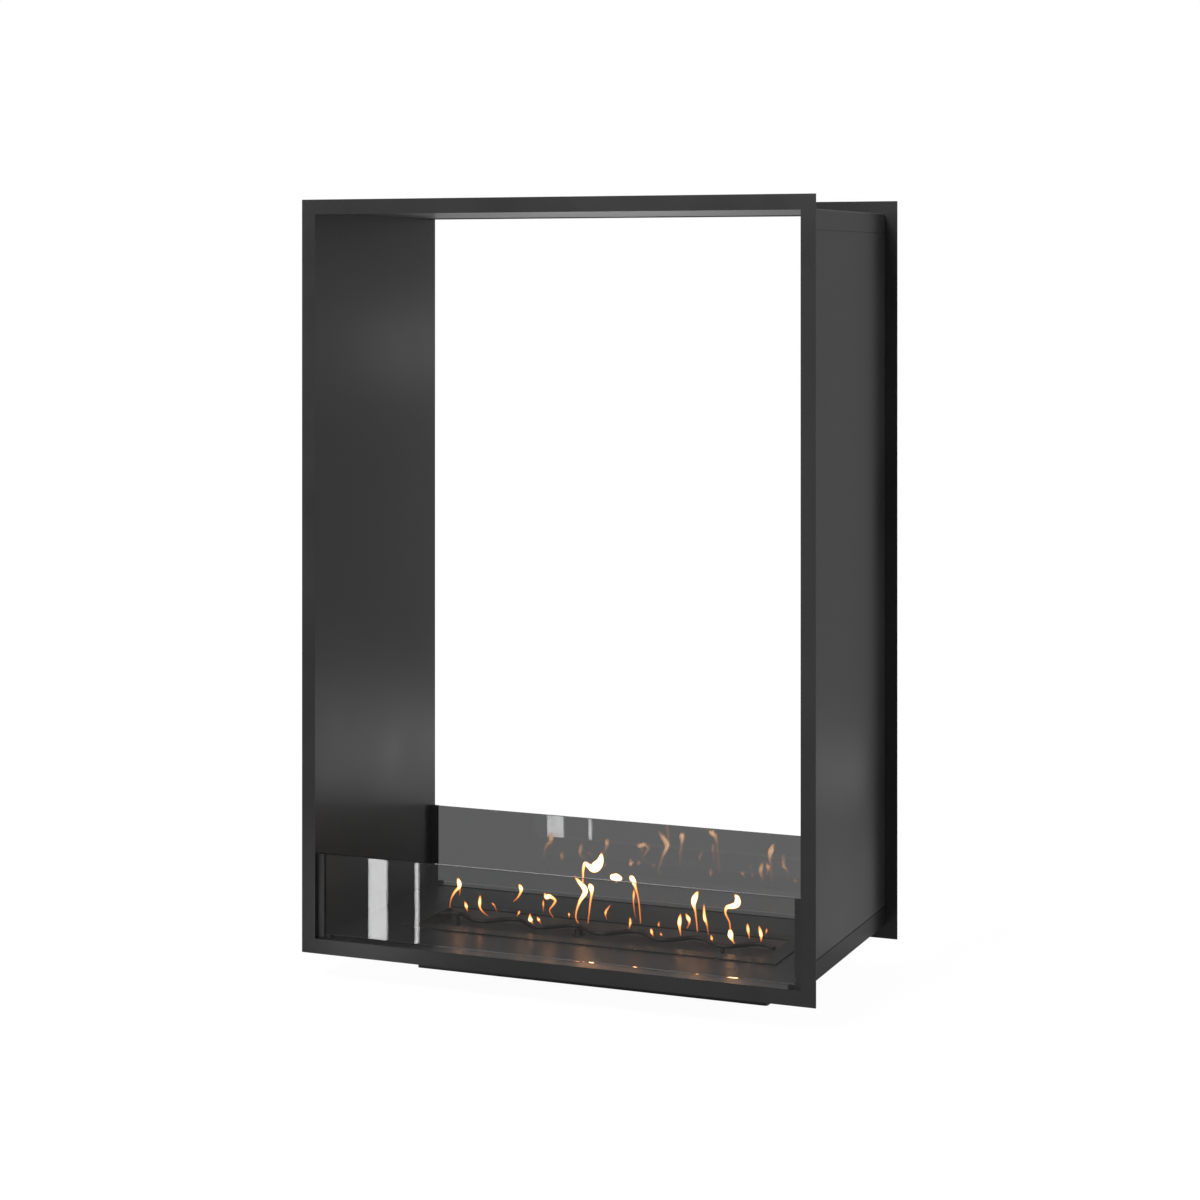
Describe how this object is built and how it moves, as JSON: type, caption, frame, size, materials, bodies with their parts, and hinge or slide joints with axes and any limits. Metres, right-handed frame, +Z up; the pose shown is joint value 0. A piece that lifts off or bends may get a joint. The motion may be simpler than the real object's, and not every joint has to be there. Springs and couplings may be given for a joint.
{
  "type": "see-through fireplace insert",
  "caption": "Tall black steel fireplace insert, open front and back, with low glass panes and a sunken spirit burner whose wavy tube carries the flames.",
  "frame": {"origin": "under the middle of the burner tank, on the surface that the tank stands on", "axes": "+Z up, +X to the right and +Y to the rear as seen from the front frame"},
  "size_m": [1, 0.51, 1.458],
  "materials": {
    "black_coat": "satin powder coat",
    "burner_coat": "satin heat-proof coat",
    "dark_steel": "heat-darkened steel",
    "silicone": "matt",
    "clear_glass": "clear, polished edges",
    "ceramic": "glazed",
    "cap_steel": "satin",
    "housing": "matt"
  },
  "bodies": {
    "casing": {"front_frame": "black_coat", "rear_frame": "black_coat", "front_collar": "black_coat", "rear_collar": "black_coat", "top_pan": "black_coat", "deck_pan": "black_coat", "left_side_panel": "black_coat", "right_side_panel": "black_coat", "left_liner": "black_coat", "right_liner": "black_coat", "front_guide_left": "black_coat", "front_guide_right": "black_coat", "rear_guide_left": "black_coat", "rear_guide_right": "black_coat", "burner_rim": "burner_coat", "bed_plate": "burner_coat", "burner_tank": "dark_steel", "bed_rail_front": "dark_steel", "bed_rail_rear": "dark_steel", "wave_tube": "dark_steel", "riser_left": "dark_steel", "riser_right": "dark_steel", "vapour_manifold": "dark_steel", "igniter_bracket": "dark_steel", "fuel_reservoir": "dark_steel", "suction_pipe": "dark_steel", "feed_pipe": "dark_steel", "front_glass_pads": "silicone", "rear_glass_pads": "silicone", "igniter": "ceramic", "fuel_pump": "housing", "control_box": "housing", "control_lid": "housing"},
    "front_pane": {"front_glass": "clear_glass"},
    "rear_pane": {"rear_glass": "clear_glass"},
    "cap": {"filler_cap": "cap_steel"}
  },
  "joints": [
    {"name": "front_glass_lift", "type": "slide", "parent": "casing", "child": "front_pane", "axis": [0, 0, 1], "range_m": [0, 0.15]},
    {"name": "rear_glass_lift", "type": "slide", "parent": "casing", "child": "rear_pane", "axis": [0, 0, 1], "range_m": [0, 0.15]},
    {"name": "filler_cap_turn", "type": "hinge", "parent": "casing", "child": "cap", "pos_m": [-0.2, -0.047, 0.07], "axis": [0, 0, 1], "range_deg": [0, 90]}
  ]
}
